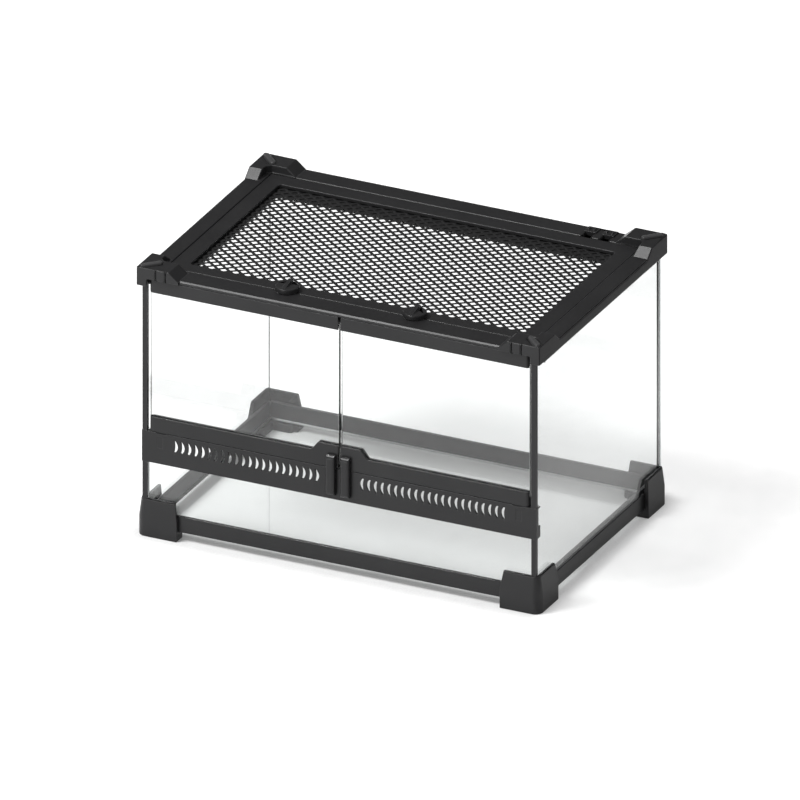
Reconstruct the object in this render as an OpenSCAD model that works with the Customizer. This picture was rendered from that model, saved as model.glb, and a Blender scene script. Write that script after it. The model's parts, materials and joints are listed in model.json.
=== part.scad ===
// Reptile terrarium: a glass box in a black frame, with two front doors over a
// slotted vent band, a lift-out mesh lid with two turn locks, and two cable
// ports with sliding shutters in the back rim. Millimetres, Z up, front at -Y.

/* [Overall] */
// Length over the corner blocks, left to right
body_l = 300; // [260:1:600]
// Depth over the corner blocks, front to back
body_w = 200; // [170:1:400]
// Height from the feet to the top of the corner blocks
body_h = 200; // [180:1:400]

/* [Panes] */
// Thickness of the fixed panes
pane_t = 3; // [2:0.1:3.2]
// How far the fixed panes sit in from the outside
pane_in = 4; // [3.8:0.1:4.4]
// How far the front pane reaches up into the vent band
pane_hold = 3.8; // [2:0.1:5]
// How far the panes reach up into the top frame
pane_grip = 4.4; // [3:0.1:5]
// Clearance around a pane in its groove
pane_gap = 0.05; // [0.02:0.01:0.1]

/* [Feet] */
// Length of each foot along both sides
foot_l = 30; // [24:0.5:40]
// Height of each foot
foot_h = 27.5; // [22:0.5:40]
// Height of the upright lower part of a foot
foot_base_h = 14; // [8:0.5:18]
// How far the outer faces lean in above that
foot_lean = 1.7; // [0.5:0.1:2.2]
// How far the ends of a foot lean back above that
foot_end_lean = 2.2; // [0.5:0.1:3.5]
// Radius of the outer corner of a foot
foot_r = 6; // [3:0.5:9]
// Height of the pad under the floor
foot_pad_t = 5.8; // [5.4:0.1:5.8]
// Width of the arms of the pad, along both sides
foot_arm_w = 13; // [11:0.1:16]
// Where a foot screw stands, in from both outer faces
foot_screw_in = 6.5; // [6:0.1:7]
// Radius of a foot screw
foot_screw_r = 1.25; // [1:0.05:1.5]

/* [Bottom rails] */
// Underside of the outer face of a bottom rail
rail_z0 = 6.25; // [6:0.05:7]
// Top of a bottom rail, where the panes stand
rail_z1 = 17.9; // [16.5:0.1:22]
// How far the rails sit in from the outside
rail_in = 3.5; // [3:0.1:3.6]
// Width of a rail across its foot
rail_w = 6; // [6:0.1:8]
// Height of the lip behind the side and back panes
lip_h = 2.6; // [1:0.1:4]
// Thickness of the skirt that covers the edge of the floor
skirt_t = 1.5; // [1:0.1:1.8]
// Length of the raised collar beside each foot
collar_l = 4; // [2:0.5:8]
// How far the collar stands above the rail
collar_h = 0.8; // [0.4:0.1:1.5]

/* [Floor] */
// Thickness of the glass floor
floor_t = 2.2; // [1.5:0.1:3]
// Size of the bead of sealant along the foot of the walls
bead = 1.1; // [0.6:0.1:2]

/* [Vent band] */
// Underside of the vent band
band_z0 = 54.7; // [50:0.1:60]
// Top of the vent band
band_z1 = 77.6; // [76:0.1:84]
// How far the front face of the band sits in
band_in = 2; // [1.6:0.1:2.4]
// Thickness of the front wall of the band
band_t = 2; // [1.4:0.1:2]
// Depth of the sill on top of the band
sill_w = 7.1; // [6.6:0.1:9]
// Number of slots in each half of the band
slot_n = 22; // [10:1:22]
// Pitch of the slots
slot_pitch = 5; // [4.4:0.1:5]
// Height of a slot
slot_h = 9.2; // [6:0.1:10]
// Widest part of a slot
slot_w = 2.5; // [1.5:0.1:3]
// How far a slot bows sideways
slot_bow = 1.4; // [0.5:0.1:2]
// First slot, from the middle of the band
slot_start = 17; // [15:0.5:20]

/* [Front and back strips] */
// Width of the strips over the pane edges
strip_w = 3.6; // [3:0.1:3.8]
// Where the strips start, in from the outside
strip_in = 3.6; // [3.4:0.1:3.8]
// Thickness of the strips behind the back pane
strip_t = 0.8; // [0.5:0.1:1.5]

/* [Doors] */
// Thickness of the door rails
door_t = 6; // [5.4:0.1:6]
// Thickness of the door glass
door_pane_t = 3; // [2:0.1:3.4]
// Where the hinge line stands, in from the side
hinge_in = 11.5; // [11.5:0.1:14]
// Height of the door's top rail
door_top_h = 9.7; // [8.5:0.1:14]
// Height of the door's bottom rail
door_foot_h = 10.7; // [9.5:0.1:14]
// Height of the raised part beside the middle
bump_h = 6.2; // [2:0.1:10]
// Length of that raised part, without its ramp
bump_l = 15; // [12:0.5:30]
// Gap between the two doors
door_split = 1.8; // [1.2:0.1:3]
// Gap under and over the doors
door_gap = 0.35; // [0.3:0.05:0.5]
// How far the glass reaches into the door rails
door_grip = 4; // [2.5:0.1:5]
// Radius of a hinge pin
pin_r = 1.5; // [1:0.05:1.6]
// Clearance of a hinge pin in its bore
pin_gap = 0.08; // [0.04:0.01:0.1]
// How deep the hinge pins reach into the frame
pin_reach = 6.3; // [4:0.1:6.6]

/* [Pulls] */
// Width of a pull
pull_w = 6.8; // [5:0.1:8]
// Radius of the upright front edges of a pull
pull_r = 2.2; // [1:0.1:2.4]
// Length of a pull
pull_l = 30; // [24:0.5:34]
// How far a pull stands in front of the band
pull_out = 4.2; // [3:0.1:4.2]
// Gap from the middle to a pull
pull_from_mid = 2; // [1.5:0.1:5]

/* [Top frame] */
// Drop from the corner blocks to the rim
rim_drop = 7; // [5:0.1:9]
// Thickness of the rim plate over the doors
rim_plate_t = 2.4; // [2.2:0.1:2.6]
// Drop from the corner blocks to the bottom of the top frame
skirt_drop = 15.5; // [15.3:0.1:15.5]
// Drop from the corner blocks to the lid ledge
seat_drop = 13; // [12.8:0.1:13]
// Width of the front rim
rim_front_w = 19.6; // [19:0.1:19.6]
// Width of the side rims
rim_side_w = 12.8; // [12.4:0.1:12.8]
// Width of the back rim
rim_back_w = 16; // [15:0.1:16]
// How far the lid ledge reaches in past the rim
seat_w = 5.2; // [3:0.1:5.2]
// How far the side rails sit in from the outside
side_in = 1; // [0.6:0.1:1.4]
// Size of the bevel along the outer top edges
rim_bevel = 1.1; // [0.4:0.1:1.2]

/* [Corner blocks] */
// Length of an arm of a corner block on top
arm_l = 24; // [20:0.5:30]
// Width of the side arms
arm_side_w = 10; // [8:0.1:11]
// Width of the front arms
arm_front_w = 16.5; // [14:0.1:17]
// Width of the back arms
arm_back_w = 15.8; // [14:0.1:16]
// How far the diagonal rib stands above a block
rib_rise = 1.3; // [0.6:0.1:2]
// Width of the rib
rib_w = 3.6; // [2:0.1:4]
// Depth of the trough around the rib
trough_d = 1.3; // [0.6:0.1:1.8]
// Width of that trough
trough_w = 7.6; // [6:0.1:8.4]
// Size of the chamfer in the inner corner of a block
block_chamfer = 3; // [1:0.1:3]

/* [Lid] */
// Gap between the lid and the rim
lid_gap = 0.3; // [0.2:0.05:0.5]
// Thickness of the lid plate
lid_t = 2.6; // [2.2:0.1:2.8]
// How far the lid plate sits below the rim
lid_drop = 0.4; // [0.2:0.1:0.8]
// Width of the lid's side bars
lid_side_w = 11.9; // [10.5:0.1:14]
// Width of the lid's front bar
lid_front_w = 11.6; // [10.8:0.1:14]
// Width of the lid's back bar
lid_back_w = 12.7; // [11:0.1:16]
// Thickness of the skirt under the edges of the lid
lid_skirt_t = 2; // [1.4:0.1:2.4]
// Thickness of the mesh sheet
mesh_t = 0.8; // [0.5:0.1:1]
// Width of a strand of the mesh
strand_w = 1.3; // [0.8:0.1:2]
// Half pitch of the mesh, left to right
mesh_px = 9.1; // [9:0.1:14]
// Half pitch of the mesh, front to back
mesh_py = 7; // [7:0.1:12]
// Thickness of the frame that clamps the mesh
retainer_t = 1.6; // [1.2:0.1:1.6]

/* [Locks] */
// Distance of each lock from the middle of the lid
lock_x = 47.5; // [40:0.5:60]
// Radius of a lock knob
knob_r = 8.2; // [6.5:0.1:8.5]
// Thickness of the disc of a lock knob
knob_disc_t = 3.6; // [2:0.1:4.2]
// Thickness of the upright fin on a knob
fin_t = 3; // [1.6:0.1:3.6]
// Radius of the shaft of a lock
shaft_r = 3; // [2.5:0.1:3.4]
// Clearance of the shaft in the lid
shaft_gap = 0.06; // [0.03:0.01:0.1]
// Radius of the half-moon cam under the lid
cam_r = 8; // [7.4:0.1:8.4]
// Thickness of the cam
cam_t = 2.4; // [1.6:0.1:2.6]

/* [Cable ports] */
// Width of a cable notch
port_w = 6.4; // [5:0.1:7]
// Depth of a cable notch
port_d = 6; // [5:0.1:6.5]
// First port, from the right side
port_a = 53.2; // [50:0.1:60]
// Distance between the two ports
port_pitch = 13.2; // [12.6:0.1:16]
// Width of a shutter
shutter_w = 8.6; // [8:0.1:9]
// Length of a shutter
shutter_l = 8; // [7.2:0.1:8]

/* [Hidden] */
$fn = 48;

// levels
lip_z = rail_z1 + lip_h;
floor_z0 = foot_pad_t;
floor_z1 = floor_z0 + floor_t;
pane_z1 = body_h - skirt_drop + pane_grip;
front_pane_z1 = band_z0 + pane_hold;
rim_z = body_h - rim_drop;
plate_z0 = rim_z - rim_plate_t;
skirt_z = body_h - skirt_drop;
block_z = body_h - rib_rise;
seat_z = body_h - seat_drop;
door_z0 = band_z1 + door_gap;
door_z1 = plate_z0 - door_gap;
lid_z1 = rim_z - lid_drop;
lid_z0 = lid_z1 - lid_t;
mesh_z0 = lid_z0 - mesh_t;
retainer_z0 = mesh_z0 - retainer_t;
knob_z0 = rim_z + 0.3;
cam_z1 = lid_z0 - 0.6;
cam_z0 = cam_z1 - cam_t;
slot_z = (band_z0 + band_z1) / 2 + 3.45;

// lines in plan, measured from the front left corner
pane_back = pane_in + pane_t;
rail_back = rail_in + rail_w;
floor_in = rail_in + skirt_t + 0.1;
floor_clip = 2 * foot_screw_in + 2.8;
foot_arm_l = foot_l - 3;
trough_end = 18.9;
door_front = band_in;
door_back = door_front + door_t;
hinge_y = door_front + door_t / 2;
door_end = body_l / 2 - door_split / 2;
stop_y = door_back + 0.4;
stop_t = 2;
block_l = arm_l + rim_drop;
lid_x = rim_side_w + lid_gap;
lid_y0 = rim_front_w + lid_gap;
lid_y1 = body_w - rim_back_w - lid_gap;
lock_y = lid_y0 + 0.6;
lobe_r = 6.5;
win_x = lid_x + lid_side_w;
win_y0 = lid_y0 + lid_front_w - 0.5;
win_y1 = lid_y1 - lid_back_w;
mesh_x = win_x + 3.6;
mesh_y0 = win_y0 + 5.4;
mesh_y1 = win_y1 - 11;
retainer_x = rim_side_w + seat_w + 1;
retainer_y0 = lock_y + cam_r + 0.5;
retainer_tab = 6;
win_r = 2.6;
retainer_y1 = body_w - rim_back_w - seat_w - 1.8;
port_y0 = body_w - rim_back_w;
magnet_r = 2;
magnet_x = door_end - 6;
screw_r = 0.8;

// places the front left corner of the outside at the origin
module at_corner() {
    translate([-body_l / 2, -body_w / 2, 0]) children();
}

module flip_x() {
    mirror([1, 0, 0]) children();
}

// a block between two values on each axis
module box(x, y, z) {
    translate([x[0], y[0], z[0]])
        cube([x[1] - x[0], y[1] - y[0], z[1] - z[0]]);
}

// extrudes an outline drawn in Y and Z
module along_x(x0, x1) {
    translate([x0, 0, 0])
        rotate([90, 0, 90])
            linear_extrude(height = x1 - x0) children();
}

// extrudes an outline drawn in X and Z
module along_y(y0, y1) {
    translate([0, y1, 0])
        rotate([90, 0, 0])
            linear_extrude(height = y1 - y0) children();
}

module pin(x, y, z0, z1, r) {
    translate([x, y, z0]) cylinder(r = r, h = z1 - z0);
}

// ---- feet ----

// upright outline of a foot, straight below and leaning in above
function foot_points(near, end) = [
    [near, 0], [near, foot_base_h], [near + foot_lean * 0.95, foot_h - 0.6],
    [near + foot_lean + 0.4, foot_h], [end - foot_end_lean, foot_h],
    [end, foot_base_h], [end, 0]
];

module foot_solid() {
    r = foot_r;
    difference() {
        intersection() {
            along_x(0, foot_l) polygon(foot_points(0, foot_l));
            along_y(0, foot_l) polygon(foot_points(0, foot_l));
        }
        box([-1, r], [-1, r], [-1, foot_h + 1]);
    }
    intersection() {
        translate([r, r, 0])
            rotate_extrude()
                polygon([
                    [0, 0], [r, 0], [r, foot_base_h], [r - foot_lean * 0.95, foot_h - 0.6],
                    [r - foot_lean - 0.4, foot_h], [0, foot_h]
                ]);
        box([-1, r], [-1, r], [-1, foot_h + 1]);
    }
}

// rounds the inner corner at the end of an arm of the pad
module arm_end_cut(x, y) {
    r = 2.5;
    difference() {
        box([x - r, x + 1], [y - r, y + 1], [-1, foot_pad_t + 1]);
        pin(x - r, y - r, -2, foot_pad_t + 2, r);
    }
}

module foot() {
    far = foot_l + 10;
    difference() {
        foot_solid();
        box([rail_in, far], [rail_in, far], [foot_pad_t, rail_z1]);
        box([pane_in, far], [pane_in, far], [rail_z1 - 1, far]);
        box([foot_arm_w, far], [foot_arm_w, far], [-1, foot_pad_t + 1]);
        box([foot_arm_l, far], [rail_back, far], [-1, foot_pad_t + 1]);
        box([rail_back, far], [foot_arm_l, far], [-1, foot_pad_t + 1]);
        arm_end_cut(foot_arm_l, foot_arm_w);
        arm_end_cut(foot_arm_w, foot_arm_l);
        pin(foot_screw_in, foot_screw_in, -1, foot_pad_t + 1, foot_screw_r + 0.05);
        pin(foot_screw_in, foot_screw_in, -1, 2.2, foot_screw_r + 1.4);
    }
}

module foot_left(front) {
    color("#2b2b2d")
        if (front) at_corner() foot();
        else mirror([0, 1, 0]) at_corner() foot();
}

module foot_front_left() {
    foot_left(true);
}

module foot_front_right() {
    flip_x() foot_left(true);
}

module foot_back_left() {
    foot_left(false);
}

module foot_back_right() {
    flip_x() foot_left(false);
}

module foot_screw() {
    pin(foot_screw_in, foot_screw_in, 0.6, 2.2, foot_screw_r + 1.25);
    pin(foot_screw_in, foot_screw_in, 2, rail_z0 + 8, foot_screw_r);
}

module foot_screws() {
    color("#9a9a9c")
        for (sx = [0, 1], sy = [0, 1])
            mirror([sx, 0, 0]) mirror([0, sy, 0]) at_corner() foot_screw();
}

// ---- bottom rails and floor ----

// section of a rail that stands on the floor and covers its edge
module rail_section(inner_z) {
    under = floor_z1 + pane_gap;
    polygon([
        [rail_in, rail_z0], [rail_in, rail_z1],
        [pane_back + pane_gap, rail_z1], [pane_back + pane_gap, inner_z],
        [rail_back, inner_z], [rail_back, under],
        [rail_in + skirt_t, under], [rail_in + skirt_t, rail_z0]
    ]);
}

// lip behind the panes
module lip_section() {
    translate([pane_back + pane_gap, rail_z1 - 1])
        square([rail_back - pane_back - pane_gap, lip_h + 1]);
}

// raised collar on the outer edge of a rail beside a foot
module collar_section() {
    translate([rail_in, rail_z1 - 2])
        square([pane_in - rail_in - pane_gap, collar_h + 2]);
}

module rail_front_back(inner_z) {
    difference() {
        along_x(rail_in, body_l - rail_in) rail_section(inner_z);
        for (x = [foot_screw_in, body_l - foot_screw_in])
            pin(x, foot_screw_in, rail_z0 - 3, rail_z0 + 8.2, foot_screw_r + 0.02);
    }
    for (x = [foot_l + 0.8, body_l - foot_l - 0.8 - collar_l])
        along_x(x, x + collar_l) collar_section();
}

module rail_left() {
    along_y(rail_back, body_w - rail_back) rail_section(rail_z1);
    along_y(rail_back, body_w - rail_back) lip_section();
    for (y = [foot_l + 0.8, body_w - foot_l - 0.8 - collar_l])
        along_y(y, y + collar_l) collar_section();
}

module bottom_rail_front() {
    color("#2b2b2d") at_corner() rail_front_back(rail_z1 - 2.4);
}

module bottom_rail_back() {
    color("#2b2b2d")
        mirror([0, 1, 0]) at_corner() {
            rail_front_back(rail_z1);
            along_x(rail_back, body_l - rail_back) lip_section();
        }
}

module bottom_rail_left() {
    color("#2b2b2d") at_corner() rail_left();
}

module bottom_rail_right() {
    color("#2b2b2d") flip_x() at_corner() rail_left();
}

// glass floor, with its corners clipped for the foot screws
module floor_panel() {
    e = floor_in;
    c = floor_clip - floor_in;
    l = body_l;
    w = body_w;
    color("#dfe9ea", 0.3) at_corner()
        translate([0, 0, floor_z0])
            linear_extrude(height = floor_t)
                polygon([
                    [e, c], [c, e], [l - c, e], [l - e, c],
                    [l - e, w - c], [l - c, w - e], [c, w - e], [e, w - c]
                ]);
}

// a slanted bead in the corner between the floor and the rails
module floor_seal() {
    module seal_section() {
        polygon([
            [rail_back, floor_z1], [rail_back + bead, floor_z1],
            [rail_back + bead * 0.7, floor_z1 + bead * 0.45], [rail_back, floor_z1 + bead]
        ]);
    }
    module seal_front() {
        intersection() {
            along_x(rail_back, body_l - rail_back) seal_section();
            linear_extrude(height = body_h)
                polygon([
                    [rail_back, rail_back], [body_l - rail_back, rail_back],
                    [body_l - rail_back - 3, rail_back + 3], [rail_back + 3, rail_back + 3]
                ]);
        }
    }
    module seal_left() {
        intersection() {
            along_y(rail_back, body_w - rail_back) seal_section();
            linear_extrude(height = body_h)
                polygon([
                    [rail_back, rail_back], [rail_back, body_w - rail_back],
                    [rail_back + 3, body_w - rail_back - 3], [rail_back + 3, rail_back + 3]
                ]);
        }
    }
    color("#d8dcdc") {
        for (s = [0, 1]) {
            mirror([0, s, 0]) at_corner() seal_front();
            mirror([s, 0, 0]) at_corner() seal_left();
        }
    }
}

// ---- panes and strips ----

module side_pane() {
    box([pane_in, pane_back], [pane_in + 1, body_w - pane_in], [rail_z1, pane_z1]);
}

module pane_left() {
    color("#dfe9ea", 0.3) at_corner() side_pane();
}

module pane_right() {
    color("#dfe9ea", 0.3) flip_x() at_corner() side_pane();
}

module pane_back() {
    color("#dfe9ea", 0.3) at_corner()
        box([pane_back, body_l - pane_back], [body_w - pane_back, body_w - pane_in],
            [rail_z1, pane_z1]);
}

module pane_front() {
    color("#dfe9ea", 0.3) at_corner()
        box([pane_back, body_l - pane_back], [pane_in, pane_back],
            [rail_z1, front_pane_z1]);
}

module front_strip(z0, z1) {
    color("#2b2b2d") at_corner() {
        box([strip_in, strip_in + strip_w], [band_in, pane_in - pane_gap], [z0, z1]);
        box([strip_in, pane_back - pane_gap], [band_in + 1, pane_in + 1], [z0, z1]);
    }
}

module back_strip() {
    color("#2b2b2d") at_corner()
        box([strip_in, strip_in + strip_w], [body_w - pane_in, body_w - pane_in + strip_t],
            [foot_h, skirt_z]);
}

module strip_front_left_lower() {
    front_strip(foot_h, band_z0);
}

module strip_front_left_upper() {
    front_strip(band_z1, skirt_z + 0.5);
}

module strip_front_right_lower() {
    flip_x() front_strip(foot_h, band_z0);
}

module strip_front_right_upper() {
    flip_x() front_strip(band_z1, skirt_z + 0.5);
}

module strip_back_left() {
    back_strip();
}

module strip_back_right() {
    flip_x() back_strip();
}

// ---- vent band ----

// one bowed slot, widest at mid height, centred on the origin
module slot() {
    steps = [-3, -2, -1, 0, 1, 2, 3];
    polygon(concat(
        [for (k = steps) let (f = k / 3)
            [slot_bow * (0.5 - f * f) + slot_w * (0.5 - 0.3 * f * f), f * slot_h / 2]],
        [for (k = steps) let (f = -k / 3)
            [slot_bow * (0.5 - f * f) - slot_w * (0.5 - 0.3 * f * f), f * slot_h / 2]]
    ));
}

module band_wall() {
    along_y(band_in, band_in + band_t - pane_gap)
        difference() {
            translate([strip_in - 0.4, band_z0])
                square([body_l - 2 * strip_in + 0.8, band_z1 - band_z0]);
            for (k = [0 : slot_n - 1]) {
                d = slot_start + k * slot_pitch;
                translate([body_l / 2 - d, slot_z]) slot();
                translate([body_l / 2 + d, slot_z]) mirror([1, 0]) slot();
            }
        }
}

// left end of the band: corner, hinge seat, and tabs outside the side pane
module band_end() {
    x0 = strip_in - 0.4;
    in_x = pane_back + pane_gap;
    back = band_in + sill_w;
    cover_z = front_pane_z1 + pane_gap;
    box([x0, pane_back - pane_gap], [band_in + 0.5, pane_in + 1 - pane_gap], [band_z0, cover_z + 1]);
    box([x0, in_x], [band_in + 0.5, pane_in + 1 - pane_gap], [cover_z, band_z1]);
    box([in_x, in_x + 1.5], [band_in + 0.5, back], [cover_z, band_z1]);
    box([in_x, hinge_in + 3.2], [band_in + 0.5, back], [band_z1 - pin_reach - 3.5, band_z1]);
    box([x0, pane_in - pane_gap], [band_in + 0.5, band_in + 6], [band_z0 + 0.3, band_z0 + 8.8]);
    box([x0, pane_in - pane_gap], [band_in + 0.5, band_in + 6], [band_z1 - 0.8, band_z1]);
}

module band_end_cuts() {
    pin(hinge_in, hinge_y, band_z1 - pin_reach - 0.6, band_z1 + 1, pin_r + pin_gap);
    box([14.3, 18.8], [band_in - 1, band_in + 0.3], [band_z1 - 11.2, band_z1 - 2.6]);
    box([14, 21.6], [band_in - 1, band_in + 0.9], [band_z1 - 0.6, band_z1 + 1]);
}

module vent_band() {
    in_x = pane_back + pane_gap;
    back = band_in + sill_w;
    cover_z = front_pane_z1 + pane_gap;
    color("#2b2b2d") at_corner()
        difference() {
            union() {
                band_wall();
                box([in_x, body_l - in_x], [band_in + 0.5, back], [band_z1 - 2, band_z1]);
                box([in_x, body_l - in_x], [band_in + 0.5, back], [cover_z, cover_z + 2]);
                box([in_x, body_l - in_x], [pane_back + pane_gap, back], [band_z0, cover_z + 1]);
                band_end();
                translate([body_l, 0, 0]) mirror([1, 0, 0]) band_end();
            }
            band_end_cuts();
            translate([body_l, 0, 0]) mirror([1, 0, 0]) band_end_cuts();
            box([body_l / 2 - 12, body_l / 2 + 12], [hinge_y - 2, hinge_y + 2],
                [band_z1 - 1.2, band_z1 + 1]);
            box([pane_in - pane_gap, pane_back + pane_gap],
                [pane_in + 1 - pane_gap, back + 1], [band_z0 - 1, band_z1 + 1]);
            translate([body_l, 0, 0]) mirror([1, 0, 0])
                box([pane_in - pane_gap, pane_back + pane_gap],
                    [pane_in + 1 - pane_gap, back + 1], [band_z0 - 1, band_z1 + 1]);
        }
}

module door_keeper() {
    color("#8f9092") at_corner()
        box([body_l / 2 - 11.9, body_l / 2 + 11.9], [hinge_y - 1.9, hinge_y + 1.9],
            [band_z1 - 1.2, band_z1 - 0.2]);
}

// ---- top frame ----

// section of a side rail, a measured in from the outside
module side_section(outer) {
    inner = pane_back + pane_gap;
    far = rim_side_w + seat_w;
    polygon([
        [outer, skirt_z], [outer, rim_z - rim_bevel], [outer + rim_bevel, rim_z],
        [rim_side_w, rim_z], [rim_side_w, seat_z], [far, seat_z],
        [far, seat_z - 2.4], [inner, seat_z - 2.4],
        [inner, pane_z1 + pane_gap], [pane_in - pane_gap, pane_z1 + pane_gap],
        [pane_in - pane_gap, skirt_z]
    ]);
}

// section of the back rail, a measured in from the outside
module back_section() {
    inner = pane_back + pane_gap;
    far = rim_back_w + seat_w;
    polygon([
        [0, skirt_z], [0, rim_z - rim_bevel], [rim_bevel, rim_z],
        [rim_back_w, rim_z], [rim_back_w, seat_z], [far, seat_z],
        [far, seat_z - 2.4], [inner, seat_z - 2.4],
        [inner, pane_z1 + pane_gap], [pane_in - pane_gap, pane_z1 + pane_gap],
        [pane_in - pane_gap, skirt_z]
    ]);
}

module top_rail_left() {
    color("#2b2b2d") at_corner()
        along_y(block_l, body_w - block_l) side_section(side_in);
}

module top_rail_right() {
    color("#2b2b2d") flip_x() at_corner()
        along_y(block_l, body_w - block_l) side_section(side_in);
}

// sunken seat for one cable port, x measured from the middle of the part
module port_cut(x) {
    y = body_w / 2 - rim_back_w;
    box([x - port_w / 2, x + port_w / 2], [y - seat_w - 1, y + port_d], [skirt_z - 1, body_h]);
    box([x - port_w / 2, x + port_w / 2], [y - 1, y + port_d + shutter_l + 0.4],
        [rim_z - 1.2, body_h]);
    box([x - shutter_w / 2 - 0.1, x + shutter_w / 2 + 0.1],
        [y - 1, y + port_d + shutter_l + 0.4], [rim_z - 2.4, rim_z - 1.1]);
}

module top_rail_back() {
    color("#2b2b2d")
        difference() {
            mirror([0, 1, 0]) at_corner()
                along_x(block_l, body_l - block_l) back_section();
            port_cut(body_l / 2 - port_a);
            port_cut(body_l / 2 - port_a + port_pitch);
        }
}

module top_rail_front() {
    mid = body_l / 2;
    clear = cam_r + 5;
    color("#2b2b2d") at_corner()
        difference() {
            union() {
                along_x(block_l, body_l - block_l)
                    polygon([
                        [band_in, plate_z0], [band_in, rim_z - rim_bevel],
                        [band_in + rim_bevel, rim_z], [rim_front_w, rim_z],
                        [rim_front_w, plate_z0], [stop_y + stop_t, plate_z0],
                        [stop_y + stop_t, skirt_z - 1.5], [stop_y, skirt_z - 1.5],
                        [stop_y, plate_z0]
                    ]);
                for (x = [[block_l, mid - lock_x - clear],
                          [mid - lock_x + clear, mid + lock_x - clear],
                          [mid + lock_x + clear, body_l - block_l]]) {
                    box(x, [rim_front_w - 4.6, rim_front_w], [lid_z0 - 2, plate_z0 + 1]);
                    box(x, [rim_front_w - 1, rim_front_w + 2.4], [lid_z0 - 2, lid_z0 - 0.05]);
                }
            }
            for (s = [-1, 1])
                pin(mid + s * lock_x, lock_y, plate_z0 - 1, rim_z + 1, lobe_r + 0.5);
        }
}

// ---- corner blocks ----

// upright outline of an arm, with its ramp down to the rim
module arm_outline(z0) {
    polygon([
        [0, z0], [0, block_z - 0.7], [0.7, block_z],
        [arm_l, block_z], [block_l, rim_z], [block_l, z0]
    ]);
}

// fills the inner corner between the arms, w1 along Y and w2 along X
module block_corner(w1, w2) {
    c = block_chamfer;
    translate([0, 0, seat_z + 4])
        linear_extrude(height = block_z - seat_z - 4)
            polygon([
                [w2 - 1, w1 - 1], [w2 + c, w1 - 1], [w2 + c, w1],
                [w2, w1 + c], [w2 - 1, w1 + c]
            ]);
}

// an upright bar with round ends along the diagonal, from d0 to d1
module diagonal_bar(d0, d1, w, z0, z1) {
    rotate([0, 0, 45]) {
        box([d0, d1], [-w / 2, w / 2], [z0, z1]);
        for (d = [d0, d1]) pin(d, 0, z0, z1, w / 2);
    }
}

module block_trough() {
    r = trough_w / 2;
    diagonal_bar(r * sqrt(2) + 2.4, trough_end - r, trough_w, block_z - trough_d, body_h + 1);
}

module block_rib() {
    r = rib_w / 2;
    diagonal_bar(r + 2.2, trough_end - 3.4 - r, rib_w, block_z - trough_d - 1, body_h);
}

module block_front() {
    difference() {
        union() {
            along_y(0, arm_front_w) arm_outline(plate_z0);
            block_corner(arm_front_w, arm_side_w);
            box([0.3, block_l], [0.3, rim_front_w], [plate_z0, rim_z]);
            box([0, 7.5], [0, stop_y + 1], [skirt_z + 0.5, rim_z]);
            box([0, pane_in + 4], [stop_y - 3, stop_y + 1], [skirt_z + 0.5, rim_z]);
            along_y(stop_y, block_l) side_section(0);
            along_x(0, arm_side_w) arm_outline(plate_z0);
            box([rim_side_w - 1, block_l], [stop_y, stop_y + stop_t], [skirt_z - 1.5, rim_z - 1]);
        }
        box([pane_in - pane_gap, pane_back + pane_gap],
            [pane_in + 1 - pane_gap, block_l + 1], [skirt_z - 1, pane_z1 + pane_gap]);
        pin(hinge_in, hinge_y, plate_z0 - 1, plate_z0 + pin_reach + 0.5, pin_r + pin_gap);
        block_trough();
        for (x = [13.8, 21])
            box([x, x + 0.6], [-1, 0.5], [plate_z0 - 1, body_h]);
    }
    block_rib();
}

module block_back() {
    difference() {
        union() {
            along_y(0, arm_back_w) arm_outline(seat_z + 3);
            along_x(0, arm_side_w) arm_outline(seat_z + 3);
            block_corner(arm_back_w, arm_side_w);
            along_y(0, block_l) side_section(0);
            along_x(0, block_l) back_section();
        }
        box([pane_in - pane_gap, pane_back + pane_gap],
            [pane_in - pane_gap, block_l + 1], [skirt_z - 1, pane_z1 + pane_gap]);
        box([pane_in - pane_gap, block_l + 1],
            [pane_in - pane_gap, pane_back + pane_gap], [skirt_z - 1, pane_z1 + pane_gap]);
        block_trough();
    }
    block_rib();
}

module block_front_left() {
    color("#2b2b2d") at_corner() block_front();
}

module block_front_right() {
    color("#2b2b2d") flip_x() at_corner() block_front();
}

module block_back_left() {
    color("#2b2b2d") mirror([0, 1, 0]) at_corner() block_back();
}

module block_back_right() {
    color("#2b2b2d") flip_x() mirror([0, 1, 0]) at_corner() block_back();
}

// ---- doors ----

// plan of a door rail, round about the hinge line
module door_plan() {
    hull() {
        translate([hinge_in, hinge_y]) circle(r = door_t / 2);
        translate([hinge_in + 8, door_front])
            square([door_end - hinge_in - 8, door_t]);
    }
}

module door_groove(z0, z1) {
    w = door_pane_t / 2 + 0.02;
    box([0, door_end + 1], [hinge_y - w, hinge_y + w], [z0, z1]);
}

module door_glass() {
    w = door_pane_t / 2;
    box([hinge_in - 2.5, door_end], [hinge_y - w, hinge_y + w],
        [door_z0 + door_foot_h - door_grip, door_z1 - door_top_h + door_grip]);
}

module door_top_rail() {
    z0 = door_z1 - door_top_h;
    difference() {
        translate([0, 0, z0]) linear_extrude(height = door_top_h) door_plan();
        door_groove(z0 - 1, z0 + door_grip);
        pin(hinge_in, hinge_y, z0 + door_grip + 0.5, door_z1 + 1, pin_r + 0.02);
    }
}

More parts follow.
